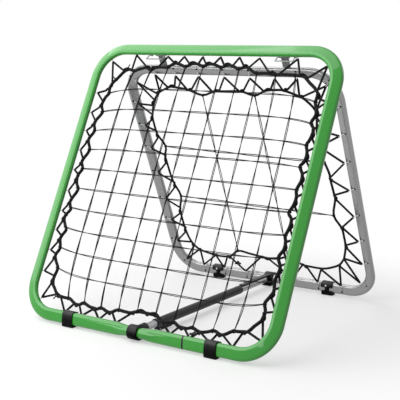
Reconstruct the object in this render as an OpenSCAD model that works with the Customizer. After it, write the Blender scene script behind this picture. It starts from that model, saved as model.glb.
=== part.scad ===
// Pitch back rebounder: two tube frames hinged at the top, each with a net laced in on bungee
// cord, and a telescopic stay between their bottom bars. Millimetres, +Z up. The origin lies on
// the ground, midway between the two bottom bars.

/* [Front frame] */
// Width of the front frame between tube centres
front_w = 1000; // [900:10:1100]
// Height of the front frame between tube centres, along its slope
front_h = 1014; // [920:2:1100]
// Lean of the front frame from the vertical, in degrees
front_lean = 26.8; // [24:0.2:29]
// Bend radius of the front frame's corners, at the tube's centre
front_corner_r = 112; // [90:1:130]

/* [Rear frame] */
// Width of the rear frame between tube centres
rear_w = 881; // [820:1:895]
// Bend radius of the rear frame's corners, at the tube's centre
rear_corner_r = 100; // [85:1:115]
// Distance between the two bottom bars
spread = 870; // [840:1:900]

/* [Tube] */
// Width of the flattened front tube
front_tube_w = 45; // [42:0.5:48]
// Width of the flattened rear tube
rear_tube_w = 41; // [39:0.5:44]
// Thickness of the flattened tubes
tube_t = 22; // [20:0.5:24]
// Wall of the tubes
tube_wall = 1.5; // [1.2:0.1:2]
// Turn of the tube's broad face away from the net, in degrees
tube_turn = 20; // [10:1:25]
// Diameter of the round necks that the stay's collars turn on
neck_d = 36; // [34:0.5:38]
// Length of the slope from a round neck to the flattened tube
neck_slope = 80; // [50:1:100]
// Place of the joint in each bottom bar, from the middle
seam_x = 188; // [180:1:200]
// Width of the joint's visible groove
seam_gap = 3; // [1:0.1:4]
// Length of the spigot inside each joint
spigot_len = 90; // [60:1:90]

/* [Front net] */
// Spacing of the upright twines
mesh_x = 76.5; // [74:0.5:78]
// Spacing of the level twines
mesh_v = 74.8; // [72:0.2:77]
// Number of twines each way
mesh_count = 10; // [9:1:10]
// Thickness of the twine
twine_d = 3; // [2:0.5:4]
// Diameter of the border rope
border_d = 11; // [9:0.5:12]
// Gap between the tube's centre and the border rope's centre
border_inset = 54; // [52:1:60]
// Corner radius of the border rope
border_r = 112; // [90:1:130]
// Distance of the net behind the frame's middle plane
net_back = 13; // [11:0.5:15]

/* [Rear net] */
// Spacing of the wide-mesh twines, across
wide_x = 224; // [200:1:240]
// Spacing of the wide-mesh twines, along the slope
wide_v = 227; // [210:1:240]
// Gap between the rear tube's centre and the border rope's centre
rear_inset = 78; // [74:1:84]
// Depth to which each twine pulls the rear border in
rear_pull = 24; // [10:1:30]
// Diameter of the rear border rope
rear_border_d = 8; // [7:0.5:10]
// Corner radius of the rear border
rear_border_r = 120; // [100:1:130]

/* [Lacing] */
// Diameter of the bungee cord
bungee_d = 6; // [5:0.5:6.5]
// Spacing of the front frame's hooks
hook_pitch = 76.5; // [75:0.5:78]
// Spacing of the rear frame's hooks
rear_hook_pitch = 105; // [100:0.5:108]
// Spacing of the rear frame's side hooks
rear_side_pitch = 108.5; // [104:0.5:110]
// Diameter of the hook wire
hook_wire = 2.5; // [2:0.5:3]
// Distance of a hook's eye from the tube's centre
eye_inset = 24; // [23:0.5:28]
// Distance of a hook's hole beyond the tube's centre
hook_hole = 4; // [2:0.5:6]
// Share of the way to the next front hook that a leg of the bungee covers
front_leg = 0.33; // [0.25:0.01:0.45]
// Longest run of a front leg along the border
front_leg_max = 46; // [40:1:60]
// Share of the way to the next rear hook that a leg of the bungee covers
rear_leg = 0.44; // [0.3:0.01:0.46]
// Longest run of a rear leg along the border
rear_leg_max = 90; // [60:1:100]
// Length of the crimps on the bungees
crimp_len = 16; // [12:1:20]

/* [Feet] */
// Length of a foot along the bar
foot_len = 44; // [40:1:50]
// Wall of the foot round the tube
foot_wall = 4; // [3:0.5:5]
// Depth of the foot below the tube
foot_drop = 7; // [5:0.5:9]
// Width of the foot's sole
sole_w = 32; // [30:1:42]
// Distance of the front feet from the middle
front_foot_x = 295; // [290:1:310]
// Distance of the rear feet from the middle
rear_foot_x = 250; // [244:1:254]

/* [Hinge] */
// Distance of the hinge pins behind the front frame's middle plane
hinge_back = 40.5; // [38:0.5:44]
// Height of the hinge pins above the front top tube's centre, along the slope
hinge_rise = 3.3; // [0:0.1:6]
// Distance of the hinge arms from the middle
arm_x = 260; // [255:1:266]
// Length of a hinge arm from the rear top tube's centre to the pin
arm_reach = 61.6; // [58:0.2:66]
// Width of a hinge arm
arm_w = 28; // [24:1:30]
// Thickness of a hinge arm
arm_t = 5; // [4:0.5:6]
// Diameter of the hinge pins
pin_d = 8; // [7:0.5:9]
// Outer diameter of the arm's eye
eye_od = 17; // [15:0.5:18]
// Thickness of a hinge lug
lug_t = 4; // [3:0.5:5]
// Diameter of the locking bail's wire
bail_wire = 4; // [3:0.5:4.5]
// Drop of the locking bail below the pin
bail_drop = 33; // [30:0.5:36]

/* [Stay] */
// Outer diameter of the two collars
collar_od = 50; // [48:0.5:52]
// Length of the collars along the bars
collar_len = 38; // [36:1:48]
// Place of the stay across the frame, from the middle
stay_x = -8; // [-15:1:15]
// Height of the stay's axis above the bars' centres
stay_rise = 2.5; // [2:0.5:6]
// Diameter of the silver tubes
stay_d = 26; // [24:0.5:27]
// Wall of the silver tubes
stay_wall = 1.5; // [1:0.1:2]
// Outer diameter of the black sleeve tube
sleeve_d = 32; // [31:0.5:33]
// Distance of the black sleeve tube from the front bar
sleeve_start = 107; // [105:1:120]
// Length of the black sleeve tube
sleeve_len = 533; // [500:1:540]
// Distance of the stay's end from the rear bar
stay_end_gap = 48; // [46:1:55]
// Width of the rear collar's tongue
tongue_w = 20; // [18:1:26]
// Thickness of the rear collar's tongue
tongue_t = 4; // [3:0.5:6]
// Running gap round turning and sliding parts
run_gap = 0.3; // [0.2:0.05:0.4]

/* [Hidden] */
$fn = 48;

// Height of the bottom bars above the ground, so that the lowest foot just touches it
bar_tilt = front_lean - tube_turn;
bar_z = (front_tube_w - tube_t) / 2 * cos(bar_tilt) + tube_t / 2 + foot_drop;

// Hinge pin in the side view, measured from the front bottom bar's centre
pin_v = front_h + hinge_rise;
pin_y = pin_v * sin(front_lean) + hinge_back * cos(front_lean);
pin_z = pin_v * cos(front_lean) - hinge_back * sin(front_lean);
rear_lean = atan((spread - pin_y) / pin_z);
rear_reach = norm([spread - pin_y, pin_z]);
rear_h = rear_reach - arm_reach;

// Hook places along each side, from the frame's middle or from its bottom bar
front_top_row = [for (i = [0, 1, 2, 4]) hook_pitch * (i + 0.5)];
front_bottom_row = [for (i = [1:4]) hook_pitch * (i + 0.5)];
side_count = 10;
side_drop = 14;
side_first = front_h / 2 - hook_pitch * (side_count - 1) / 2 - side_drop;
front_side_row = [for (i = [0:side_count - 1]) side_first + hook_pitch * i];
rear_top_row = [0, rear_hook_pitch, rear_hook_pitch * 2, rear_hook_pitch * 2.9];
rear_bottom_row = [rear_hook_pitch, rear_hook_pitch * 2, rear_hook_pitch * 2.9];
rear_side_count = 7;
rear_side_first = rear_h / 2 - rear_side_pitch * (rear_side_count - 1) / 2;
rear_side_row = [for (i = [0:rear_side_count - 1]) rear_side_first + rear_side_pitch * i];

// ---------------------------------------------------------------- places

// Front frame's plane: x across, y up the slope, z out of the front face
module front_place() translate([0, -spread / 2, bar_z]) rotate([90 - front_lean, 0, 0]) children();

// Rear frame's plane: x across, y up the slope, z towards the front frame
module rear_place() translate([0, spread / 2, bar_z]) rotate([90 + rear_lean, 0, 0]) children();

// The hinge pins' line, as the front frame holds it
module pin_place() translate([0, pin_y - spread / 2, bar_z + pin_z]) children();

// The stay's axis: z runs from the front bar's centre line to the rear, x stays across
module stay_place(along = 0)
  translate([stay_x, along - spread / 2, bar_z + stay_rise]) rotate([-90, 0, 0]) children();

// Turns a shape drawn along z so that it lies along x
module along_x() rotate([0, 90, 0]) children();

// ---------------------------------------------------------------- tube

module oval(w, t) {
  for (side = [-1, 1]) translate([side * (w - t) / 2, 0]) circle(d = t);
  square([w - t, t], center = true);
}

module oval_ring(w, t, wall) {
  difference() {
    oval(w, t);
    oval(w - 2 * wall, t - 2 * wall);
  }
}

module straight_run(len, w, turn) {
  rotate([90, 0, 0]) linear_extrude(len) rotate(turn) oval_ring(w, tube_t, tube_wall);
}

module bend(r, w, turn) {
  rotate_extrude(angle = 90) translate([r, 0]) rotate(turn) oval_ring(w, tube_t, tube_wall);
}

function ease(t) = (1 - cos(180 * t)) / 2;

// Outline of a revolve whose radius runs smoothly from the neck to the given end radius
neck_steps = 5;
neck_flat = collar_len / 2 + 4;
neck_half = neck_flat + neck_slope;
function neck_outline(end_r, grow) = concat(
  [[0, -neck_half]],
  [for (i = [0:neck_steps])
    [neck_d / 2 + (end_r - neck_d / 2) * ease(1 - i / neck_steps) + grow,
     -neck_half + neck_slope * i / neck_steps]],
  [for (i = [0:neck_steps])
    [neck_d / 2 + (end_r - neck_d / 2) * ease(i / neck_steps) + grow,
     neck_flat + neck_slope * i / neck_steps]],
  [[0, neck_half]]);

// A flattened tube that is left round in its middle
neck_core_inset = 0.6;
module neck_solid(w, grow) {
  intersection() {
    translate([0, 0, -neck_half]) linear_extrude(2 * neck_half)
      oval(w + 2 * grow, tube_t + 2 * grow);
    rotate_extrude() polygon(neck_outline(w / 2 + 1, grow));
  }
  rotate_extrude() polygon(neck_outline(tube_t / 2 - neck_core_inset, grow));
}

module neck_run(w, turn) {
  rotate([90, 0, 0]) rotate([0, 0, turn]) difference() {
    neck_solid(w, 0);
    neck_solid(w, -tube_wall);
  }
}

// A whole frame tube, with its round neck neck_x across from the middle
module frame_tube(w, h, r, tube_w, turn, neck_x) {
  for (side = [0, 1]) {
    translate([w / 2 - r - side * (w - 2 * r), side ? r : h - r, 0])
      rotate([0, 0, 180 * side]) bend(r, tube_w, turn);
    translate([w / 2 - r - side * (w - 2 * r), side ? h - r : r, 0])
      rotate([0, 0, 180 * side]) mirror([0, 1, 0]) bend(r, tube_w, turn);
    translate([side ? -w / 2 : w / 2, side ? r : h - r, 0])
      rotate([0, 0, 180 * side]) straight_run(h - 2 * r, tube_w, turn);
  }
  translate([r - w / 2, h, 0]) rotate([0, 0, 90]) straight_run(w - 2 * r, tube_w, turn);
  bottom_half = w / 2 - r;
  rotate([0, 0, -90]) {
    translate([0, bottom_half, 0])
      straight_run(bottom_half - seam_x - seam_gap / 2, tube_w, turn);
    translate([0, seam_x - seam_gap / 2, 0])
      straight_run(seam_x - seam_gap / 2 - neck_half - neck_x, tube_w, turn);
    translate([0, neck_x, 0]) neck_run(tube_w, turn);
    translate([0, neck_x - neck_half, 0])
      straight_run(bottom_half - neck_half + neck_x, tube_w, turn);
  }
}

module tube_spigot(tube_w, turn) {
  fit_w = 2 * tube_wall + 2 * run_gap / 3;
  spigot_wall = 2;
  rotate([0, 0, -90]) translate([0, seam_x + spigot_len / 2, 0]) rotate([90, 0, 0])
    linear_extrude(spigot_len) rotate(turn)
      oval_ring(tube_w - fit_w, tube_t - fit_w, spigot_wall);
}

// ---------------------------------------------------------------- cords

// Tube along a closed loop of points in the frame's plane, each given as [x, y, z]
module loop_cord(path, d, sides = 8) {
  n = len(path);
  rings = [for (i = [0:n - 1])
    let (before = path[(i + n - 1) % n], after = path[(i + 1) % n],
         run = after - before,
         out = cross(run, [0, 0, 1]) / norm(cross(run, [0, 0, 1])),
         up = cross(out, run) / norm(cross(out, run)))
    for (k = [0:sides - 1])
      path[i] + d / 2 * (out * cos(360 * k / sides) + up * sin(360 * k / sides))];
  faces = [for (i = [0:n - 1], k = [0:sides - 1])
    let (a = i * sides + k, b = i * sides + (k + 1) % sides,
         c = ((i + 1) % n) * sides + (k + 1) % sides, e = ((i + 1) % n) * sides + k)
    [a, b, c, e]];
  polyhedron(points = rings, faces = faces, convexity = 8);
}

// Corner arc of a border, as points from angle a to angle b
function arc(cx, cy, r, a, b, steps, z) =
  [for (i = [0:steps]) let (t = a + (b - a) * i / steps) [cx + r * cos(t), cy + r * sin(t), z]];

// A point on a border with half width bw, from low to high, that faces the place p
function reach(p, bw, low, high, br, z) =
  let (cx = bw - br, ax = abs(p[0]), sx = p[0] < 0 ? -1 : 1,
       in_x = ax > cx, low_y = low + br, high_y = high - br,
       cy = p[1] > high_y ? high_y : p[1] < low_y ? low_y : p[1],
       side = in_x && (p[1] > high_y || p[1] < low_y),
       dir = side ? [ax - cx, p[1] - cy] / norm([ax - cx, p[1] - cy]) : [1, 0])
  side ? [sx * (cx + br * dir[0]), cy + br * dir[1], z]
  : in_x && p[1] >= low_y && p[1] <= high_y ? [sx * bw, p[1], z]
  : [p[0], p[1] > (low + high) / 2 ? high : low, z];

function mirror_row(row) = concat([for (i = [len(row) - 1:-1:0]) if (row[i] != 0) -row[i]], row);
function backwards(row) = [for (i = [len(row) - 1:-1:0]) row[i]];

// All hook places round a frame, against the clock from the lower right corner:
// each is [x, y, direction in degrees from the hook's eye out to its tube]
function hook_ring(w, h, r, side_row, top_row, bottom_row) =
  let (mid = (r - eye_inset) / sqrt(2), cx = w / 2 - r, tops = mirror_row(top_row),
       bottoms = mirror_row(bottom_row))
  concat(
    [[cx + mid, r - mid, -45]],
    [for (v = side_row) [w / 2 - eye_inset, v, 0]],
    [[cx + mid, h - r + mid, 45]],
    [for (u = backwards(tops)) [u, h - eye_inset, 90]],
    [[-cx - mid, h - r + mid, 135]],
    [for (v = backwards(side_row)) [eye_inset - w / 2, v, 180]],
    [[-cx - mid, r - mid, 225]],
    [for (u = bottoms) [u, eye_inset, 270]]);

front_ring = hook_ring(front_w, front_h, front_corner_r, front_side_row, front_top_row,
                       front_bottom_row);
rear_ring = hook_ring(rear_w, rear_h, rear_corner_r, rear_side_row, rear_top_row,
                      rear_bottom_row);

// Bungee: from eye to border, a little way along it and out to the next eye, all round.
// A leg covers its share of the way to the next eye, up to the longest
function lacing(ring, bw, low, high, br, z, share, longest) =
  [for (i = [0:len(ring) - 1])
    let (a = ring[i], b = ring[(i + 1) % len(ring)], run = [b[0] - a[0], b[1] - a[1]],
         leg = min(share, longest / norm(run)),
         near = [a[0], a[1]] + leg * run, far = [b[0], b[1]] - leg * run)
    each [[a[0], a[1], z], reach(near, bw, low, high, br, z), reach(far, bw, low, high, br, z)]];

front_border_w = front_w / 2 - border_inset;
front_border_low = border_inset;
front_border_drop = 12;
front_border_high = front_h - border_inset - front_border_drop;
rear_border_w = rear_w / 2 - rear_inset;
rear_low_rise = 2;
rear_high_rise = 6;
rear_border_low = rear_inset + rear_low_rise;
rear_border_high = rear_h - rear_inset + rear_high_rise;

module net_grid(count_x, count_v, pitch_x, pitch_v, mid_v, bw, low, high, z) {
  translate([0, 0, z - twine_d / 2]) linear_extrude(twine_d) {
    for (i = [0:count_x - 1])
      translate([pitch_x * (i - (count_x - 1) / 2), (low + high) / 2])
        square([twine_d, high - low], center = true);
    for (j = [0:count_v - 1])
      translate([0, mid_v + pitch_v * (j - (count_v - 1) / 2)])
        square([2 * bw, twine_d], center = true);
  }
}

// Wire hook: its end stands in the tube's inner face, its eye holds the bungee.
// Drawn with the tube in the +x direction and the frame's middle plane at z = 0
eye_slack = 0.2;
hook_end = 8;
module hook(depth, face) {
  stem_z = -depth;
  stem_start = bungee_d / 2 + hook_wire / 2 + eye_slack;
  translate([0, 0, stem_z]) rotate([90, 0, 0])
    rotate_extrude($fn = 24) translate([stem_start, 0]) circle(d = hook_wire, $fn = 16);
  translate([stem_start, 0, stem_z]) along_x()
    cylinder(d = hook_wire, h = eye_inset + hook_hole - stem_start, $fn = 16);
  translate([eye_inset + hook_hole, 0, stem_z]) cylinder(d = hook_wire, h = face, $fn = 16);
}

module hook_set(ring, depth, face) {
  for (p = ring) translate([p[0], p[1], 0]) rotate([0, 0, p[2]]) hook(depth, face);
}

// ---------------------------------------------------------------- front frame

module front_tube() color("limegreen") front_place()
  frame_tube(front_w, front_h, front_corner_r, front_tube_w, -tube_turn, stay_x);

module front_tube_spigot() color("silver") front_place() tube_spigot(front_tube_w, -tube_turn);

front_net_mid = (front_border_low + front_border_high) / 2;

module front_net() color("dimgray") front_place()
  net_grid(mesh_count, mesh_count, mesh_x, mesh_v, front_net_mid, front_border_w,
           front_border_low, front_border_high, -net_back);

module front_border_rope() color("black") front_place() {
  x = front_border_w - border_r;
  low = front_border_low + border_r;
  high = front_border_high - border_r;
  loop_cord(concat(arc(x, low, border_r, -90, 0, 6, -net_back),
                   arc(x, high, border_r, 0, 90, 6, -net_back),
                   arc(-x, high, border_r, 90, 180, 6, -net_back),
                   arc(-x, low, border_r, 180, 270, 6, -net_back)), border_d);
}

module front_bungee() color("black") front_place()
  loop_cord(lacing(front_ring, front_border_w, front_border_low, front_border_high, border_r,
                   -net_back, front_leg, front_leg_max), bungee_d, 6);

// Crimp that joins the bungee's ends, at the middle of a leg from a bottom hook to the border
crimp_swell = 1.8;
module crimp(hook_x, leg_run, border_low, z) {
  rise = border_low - eye_inset;
  translate([hook_x + leg_run / 2, eye_inset + rise / 2, z])
    rotate([0, 0, atan2(rise, leg_run)]) along_x()
      cylinder(d = crimp_swell * bungee_d, h = crimp_len, center = true);
}

module front_bungee_crimp() color("black") front_place()
  crimp(hook_pitch * 2.5, hook_pitch * front_leg, front_border_low, -net_back);

module front_hooks() color("silver") front_place() hook_set(front_ring, net_back, hook_end);

// ---------------------------------------------------------------- feet

foot_screw_d = 8;
foot_screw_h = 5;
sole_bevel = 4;
sole_h = 14.5;

// Foot in its side view: x is forwards out of the A, y is up, the tube's centre is the origin
module foot_profile(tube_w, tilt) {
  sole_half = sole_w / 2;
  difference() {
    union() {
      rotate(90 + tilt) oval(tube_w + 2 * foot_wall, tube_t + 2 * foot_wall);
      translate([0, -bar_z]) polygon([
        [sole_bevel - sole_half, 0], [sole_half - sole_bevel, 0], [sole_half, sole_bevel],
        [sole_half, sole_h], [-sole_half, sole_h], [-sole_half, sole_bevel]]);
      translate([-tube_t / 2, tube_w / 4]) circle(r = tube_w / 4 + 1);
    }
    rotate(90 + tilt) oval(tube_w + run_gap, tube_t + run_gap);
  }
}

// The inner side is cut back to a strap between the sole and the dome
module foot(tube_w, tilt) {
  strap = 16;
  window_h = 15;
  window_z = -6;
  difference() {
    translate([-foot_len / 2, 0, 0]) rotate([90, 0, 90]) linear_extrude(foot_len)
      foot_profile(tube_w, tilt);
    for (side = [-1, 1])
      translate([side * (strap / 2 + foot_len / 2), -sole_w / 2, window_z])
        cube([foot_len, sole_w, window_h], center = true);
    foot_screw(tube_w, run_gap);
  }
}

// Screw in the dome of a foot, or its hole where grow is given
module foot_screw(tube_w, grow = 0) {
  translate([0, grow - tube_t / 2 - tube_w / 4 - foot_screw_h / 2, tube_w / 4])
    rotate([-90, 0, 0]) cylinder(d = foot_screw_d + grow, h = foot_screw_h);
}

// Turned about z so that the foot's inner side faces into the A
module front_foot_at(side) translate([side * front_foot_x, -spread / 2, bar_z])
  rotate([0, 0, 180]) children();
module rear_foot_at(side) translate([side * rear_foot_x, spread / 2, bar_z]) children();

module front_foot_left() color("black") front_foot_at(-1) foot(front_tube_w, bar_tilt);
module front_foot_right() color("black") front_foot_at(1) foot(front_tube_w, bar_tilt);
module rear_foot_left() color("black") rear_foot_at(-1) foot(rear_tube_w, rear_lean - tube_turn);
module rear_foot_right() color("black") rear_foot_at(1) foot(rear_tube_w, rear_lean - tube_turn);
module front_foot_screws() color("silver")
  for (side = [-1, 1]) front_foot_at(side) foot_screw(front_tube_w);
module rear_foot_screws() color("silver")
  for (side = [-1, 1]) rear_foot_at(side) foot_screw(rear_tube_w);

// ---------------------------------------------------------------- hinge

lug_gap = arm_w / 2 + 0.5;
lug_w = pin_d + 10;
outer_lug = arm_w * 1.5;
bail_gap = 3;
bail_in = lug_gap + lug_t + bail_gap;
bail_out = outer_lug + lug_t / 2 + bail_gap;
pin_over = 4;
pin_head_t = 3;
pin_fit = 0.1;

module lug() {
  // From the back of the front tube to round the pin
  reach_back = hinge_back - tube_t / 2 - 2;
  difference() {
    union() {
      translate([-lug_t / 2, pin_v - lug_w / 2, -hinge_back])
        cube([lug_t, lug_w, reach_back]);
      translate([0, pin_v, -hinge_back]) along_x()
        cylinder(d = lug_w, h = lug_t, center = true);
    }
    translate([0, pin_v, -hinge_back]) along_x()
      cylinder(d = pin_d + pin_fit, h = 3 * lug_t, center = true);
  }
}

module hinge_lugs() color("darkgreen") front_place()
  for (side = [-1, 1], at = [-lug_gap - lug_t / 2, lug_gap + lug_t / 2, outer_lug])
    translate([side * (arm_x + at), 0, 0]) lug();

module hinge_pins() color("silver") pin_place()
  for (side = [-1, 1]) translate([side * (arm_x - bail_in - pin_over), 0, 0])
    rotate([0, side * 90, 0]) {
      cylinder(d = pin_d, h = bail_in + bail_out + 2 * pin_over);
      translate([0, 0, bail_in + bail_out + 2 * pin_over])
        cylinder(d = pin_d + 5, h = pin_head_t);
    }

module hinge_arms() color("dimgray")
  for (side = [-1, 1]) translate([side * arm_x, 0, 0]) rear_place()
    difference() {
      union() {
        translate([-arm_w / 2, rear_h + tube_t / 4, -arm_t / 2])
          cube([arm_w, arm_reach - tube_t / 4, arm_t]);
        translate([0, rear_reach, 0]) along_x() cylinder(d = eye_od, h = arm_w, center = true);
      }
      translate([0, rear_reach, 0]) along_x()
        cylinder(d = pin_d + pin_fit, h = 2 * arm_w, center = true);
    }

// Locking bail: two eyes on the pin, two legs and a bottom run, hanging forwards of the pin
bail_lean = 57;
module bail(side) pin_place() translate([side * arm_x, 0, 0]) rotate([-bail_lean, 0, 0]) {
  legs = [-side * bail_in, side * bail_out];
  eye_r = (pin_d + bail_wire) / 2 + eye_slack;
  for (x = legs) translate([x, 0, 0]) {
    rotate([0, 90, 0]) rotate_extrude() translate([eye_r, 0])
      circle(d = bail_wire, $fn = 16);
    translate([0, 0, -bail_drop])
      cylinder(d = bail_wire, h = bail_drop - (pin_d + bail_wire) / 2, $fn = 16);
    translate([0, 0, -bail_drop]) sphere(d = bail_wire, $fn = 16);
  }
  translate([(legs[0] + legs[1]) / 2, 0, -bail_drop]) along_x()
    cylinder(d = bail_wire, h = bail_in + bail_out, center = true, $fn = 16);
}
module bail_left() color("silver") bail(-1);
module bail_right() color("silver") bail(1);

// ---------------------------------------------------------------- rear frame

module rear_tube() color("silver") rear_place()
  frame_tube(rear_w, rear_h, rear_corner_r, rear_tube_w, tube_turn, stay_x);

module rear_tube_spigot() color("gray") rear_place() tube_spigot(rear_tube_w, tube_turn);

rear_net_mid = (rear_border_low + rear_border_high) / 2;

module rear_net() color("dimgray") rear_place()
  net_grid(2, 2, wide_x, wide_v, rear_net_mid, rear_border_w - rear_pull,
           rear_border_low + rear_pull, rear_border_high - rear_pull, net_back);

// The rear border is drawn in by rear_pull where a twine meets it
function pulled(p) =
  let (to_x = min([for (s = [-1, 1]) abs(p[0] - s * wide_x / 2)]),
       to_v = min([for (s = [-1, 1]) abs(p[1] - rear_net_mid - s * wide_v / 2)]),
       on_side = abs(p[0]) >= rear_border_w - 1,
       on_level = p[1] <= rear_border_low + 1 || p[1] >= rear_border_high - 1,
       up = p[1] > rear_net_mid ? -1 : 1)
  on_side && to_v < 1 ? [p[0] - sign(p[0]) * rear_pull, p[1], p[2]]
  : on_level && to_x < 1 ? [p[0], p[1] + up * rear_pull, p[2]]
  : p;

module rear_border_rope() color("black") rear_place() {
  x = rear_border_w - rear_border_r;
  low = rear_border_low + rear_border_r;
  high = rear_border_high - rear_border_r;
  side_half = rear_side_pitch / 2;
  level_half = rear_hook_pitch / 2;
  side_v = [rear_h / 2 - 3 * side_half, rear_net_mid - wide_v / 2, rear_h / 2 - side_half,
            rear_h / 2 + side_half, rear_net_mid + wide_v / 2, rear_h / 2 + 3 * side_half];
  level_x = [-3 * level_half, -wide_x / 2, -level_half, level_half, wide_x / 2,
             3 * level_half];
  points = concat(arc(x, low, rear_border_r, -90, 0, 5, net_back),
    [for (v = side_v) [rear_border_w, v, net_back]],
    arc(x, high, rear_border_r, 0, 90, 5, net_back),
    [for (u = backwards(level_x)) [u, rear_border_high, net_back]],
    arc(-x, high, rear_border_r, 90, 180, 5, net_back),
    [for (v = backwards(side_v)) [-rear_border_w, v, net_back]],
    arc(-x, low, rear_border_r, 180, 270, 5, net_back),
    [for (u = level_x) [u, rear_border_low, net_back]]);
  loop_cord([for (p = points) pulled(p)], rear_border_d);
}

module rear_bungee() color("black") rear_place()
  loop_cord(lacing(rear_ring, rear_border_w, rear_border_low, rear_border_high, rear_border_r,
                   net_back, rear_leg, rear_leg_max), bungee_d, 6);

module rear_bungee_crimp() color("black") rear_place()
  crimp(-rear_hook_pitch * 2, rear_hook_pitch * rear_leg, rear_border_low, net_back);

module rear_hooks() color("silver") rear_place() mirror([0, 0, 1])
  hook_set(rear_ring, net_back, hook_end);

// ---------------------------------------------------------------- stay

module stay_pipe(from, to, outer, inner) stay_place(from) difference() {
  cylinder(d = outer, h = to - from);
  translate([0, 0, -1]) cylinder(d = inner, h = to - from + 2);
}

// Side view of the stay, extruded across it: x runs to the rear from the front bar, y up
module stay_side(width) translate([stay_x - width / 2, -spread / 2, bar_z + stay_rise])
  rotate([90, 0, 90]) linear_extrude(width) children();

socket_len = 34;
socket_d = 34;
socket_start = 20;
plug_in = 26;
press_fit = 0.1;
sleeve_wall = 1.5;
stay_tube_start = socket_start + socket_len - plug_in;
stay_overlap = 200;
stay_tube_end = sleeve_start + stay_overlap;
sleeve_end = sleeve_start + sleeve_len;
sleeve_bore = sleeve_d - 2 * sleeve_wall;
rear_grip = 60;
rear_tube_start = sleeve_end - rear_grip;
rear_tube_end = spread - stay_end_gap;
mouth_len = 20;
bush_len = 12;

// Collar round a bar's neck, seen along the bar: the split lies split_y behind the centre, and
// a lip of the cap runs under the body to the clamp screws
split_y = 6;
lip_t = 5;
lip_end = 32;
screw_y = 26;
screw_x = 12;
screw_d = 4;
screw_head_h = 2;
collar_bore = neck_d + 2 * run_gap;
lip_top = -collar_od / 2 + lip_t;
dimple_d = 11;
dimple_t = 1.5;

module collar_ring() along_x() cylinder(d = collar_od, h = collar_len, center = true);
module collar_hole() along_x() cylinder(d = collar_bore, h = 2 * collar_len, center = true);
module clamp_holes(d)
  for (x = [-screw_x, screw_x]) translate([x, screw_y, -collar_od / 2 - 1])
    cylinder(d = d, h = 3 * lip_t, $fn = 24);

module collar_cap() difference() {
  union() {
    intersection() {
      collar_ring();
      translate([-collar_len / 2, -collar_od, -collar_od])
        cube([collar_len, collar_od + split_y - run_gap / 2, 2 * collar_od]);
    }
    translate([-collar_len / 2, 0, -collar_od / 2]) cube([collar_len, lip_end, lip_t]);
  }
  collar_hole();
  clamp_holes(screw_d + press_fit);
}

module collar_body() difference() {
  union() {
    intersection() {
      collar_ring();
      translate([-collar_len / 2, split_y + run_gap / 2, lip_top + run_gap / 2])
        cube([collar_len, collar_od, 2 * collar_od]);
    }
    translate([-collar_len / 2, split_y + run_gap / 2, lip_top + run_gap / 2])
      cube([collar_len, lip_end - split_y, lip_t + 2]);
  }
  collar_hole();
  clamp_holes(screw_d + press_fit);
}

module clamp_screws() for (x = [-screw_x, screw_x]) translate([x, screw_y, -collar_od / 2]) {
  cylinder(d = screw_d, h = 2 * lip_t, $fn = 24);
  translate([0, 0, -screw_head_h]) cylinder(d = screw_d + 3, h = screw_head_h, $fn = 24);
}

// Front bar's collar
module front_collar_place() translate([stay_x, -spread / 2, bar_z]) children();

module stay_collar() color([0.15, 0.15, 0.15]) front_collar_place() difference() {
  union() {
    collar_body();
    translate([0, socket_start, stay_rise]) rotate([-90, 0, 0])
      cylinder(d = socket_d, h = socket_len);
  }
  collar_hole();
  translate([0, stay_tube_start, stay_rise]) rotate([-90, 0, 0])
    cylinder(d = stay_d + press_fit, h = socket_len);
  translate([0, socket_start + socket_len - dimple_d, stay_rise + socket_d / 2 - dimple_t])
    cylinder(d = dimple_d, h = socket_d);
}
module stay_collar_cap() color([0.15, 0.15, 0.15]) front_collar_place() collar_cap();
module stay_collar_screws() color("silver") front_collar_place() clamp_screws();

// Rear bar's collar, whose tongue lies over the stay and hooks a stud into its slot
tongue_gap = 0.5;
tongue_z = stay_rise + stay_d / 2 + tongue_gap;
tongue_clear = 6;
tongue_root = tongue_w * 0.7;
tongue_reach = spread - sleeve_end - tongue_clear;
stud_d = 6;
stud_shank = 4.2;
stud_inset = 16;
stud_y = tongue_reach - stud_inset;
stud_depth = 4;
stud_head_t = 1.6;
slot_pitch = 28;
slot_count = 4;
slot_free = 4.5;
slot_w = stud_d + 0.8;

module rear_collar_place() translate([stay_x, spread / 2, bar_z]) mirror([0, 1, 0]) children();

module rear_collar() color([0.2, 0.2, 0.2]) rear_collar_place() difference() {
  union() {
    collar_body();
    translate([0, 0, tongue_z]) linear_extrude(tongue_t) {
      polygon([[-tongue_root, split_y + run_gap], [tongue_root, split_y + run_gap],
               [tongue_w / 2, collar_od], [tongue_w / 2, tongue_reach - tongue_w / 2],
               [-tongue_w / 2, tongue_reach - tongue_w / 2], [-tongue_w / 2, collar_od]]);
      translate([0, tongue_reach - tongue_w / 2]) circle(d = tongue_w);
    }
  }
  collar_hole();
  translate([0, stud_y, 0]) cylinder(d = stud_shank, h = collar_od, $fn = 24);
}
module rear_collar_cap() color([0.2, 0.2, 0.2]) rear_collar_place() collar_cap();
module rear_collar_screws() color("silver") rear_collar_place() clamp_screws();
module tongue_stud() color("silver") rear_collar_place() translate([0, stud_y, 0]) {
  translate([0, 0, tongue_z - tongue_gap - stud_depth])
    cylinder(d = stud_d, h = stud_depth + tongue_gap, $fn = 24);
  translate([0, 0, tongue_z]) cylinder(d = stud_shank - 2 * press_fit, h = tongue_t, $fn = 24);
  translate([0, 0, tongue_z + tongue_t]) cylinder(d = 1.5 * stud_d, h = stud_head_t, $fn = 24);
}

module stay_front_tube() color("silver")
  stay_pipe(stay_tube_start, stay_tube_end, stay_d, stay_d - 2 * stay_wall);

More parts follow.
